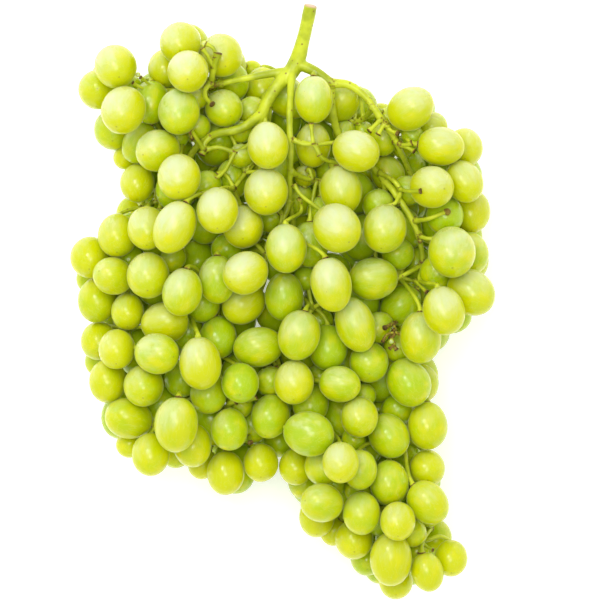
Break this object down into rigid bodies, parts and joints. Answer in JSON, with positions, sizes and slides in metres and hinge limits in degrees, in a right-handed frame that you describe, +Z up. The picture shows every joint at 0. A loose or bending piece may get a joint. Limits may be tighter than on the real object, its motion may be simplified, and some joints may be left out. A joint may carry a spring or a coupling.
{
  "type": "bunch of grapes",
  "caption": "Bunch of white table grapes lying on its back: a forked green stalk carries sprays of oval berries packed into a broad shouldered cluster with a tapering tail.",
  "frame": {"origin": "middle of the footprint of the resting bunch, on the surface that it lies on", "axes": "+Y runs along the bunch from the tip of its tail towards the cut end of the stalk, +Z points up from the surface, +X is to the right seen from above"},
  "size_m": [0.1905, 0.2674, 0.0906],
  "materials": {
    "grape_skin": "yellow-green translucent grape skin, satin under a thin pale bloom, with fine pale specks and lengthwise veins",
    "grape_stem": "fresh green stalk, matt, browner at its nodes and pale at the cut end"
  },
  "bodies": {
    "root": {"centre_front": "grape_skin", "centre_low": "grape_skin", "centre_right": "grape_skin", "centre_top": "grape_skin", "centre_upper": "grape_skin", "crown_back": "grape_skin", "crown_front": "grape_skin", "crown_left": "grape_skin", "left_foot": "grape_skin", "left_foot_inner": "grape_skin", "left_foot_outer": "grape_skin", "left_heart": "grape_skin", "left_heart_lower": "grape_skin", "left_heart_upper": "grape_skin", "left_shoulder": "grape_skin", "left_shoulder_upper": "grape_skin", "left_side_lower": "grape_skin", "left_side_upper": "grape_skin", "left_wing_inner": "grape_skin", "left_wing_tip": "grape_skin", "left_wing_top": "grape_skin", "right_heart": "grape_skin", "right_heart_upper": "grape_skin", "right_side": "grape_skin", "right_side_lower": "grape_skin", "right_side_upper": "grape_skin", "right_top_inner": "grape_skin", "right_top_outer": "grape_skin", "stalk": "grape_stem", "tail_left": "grape_skin", "tail_left_low": "grape_skin", "tail_left_upper": "grape_skin", "tail_right": "grape_skin", "tail_right_low": "grape_skin", "tail_right_upper": "grape_skin", "tail_tip": "grape_skin", "tail_tip_right": "grape_skin"}
  },
  "joints": []
}
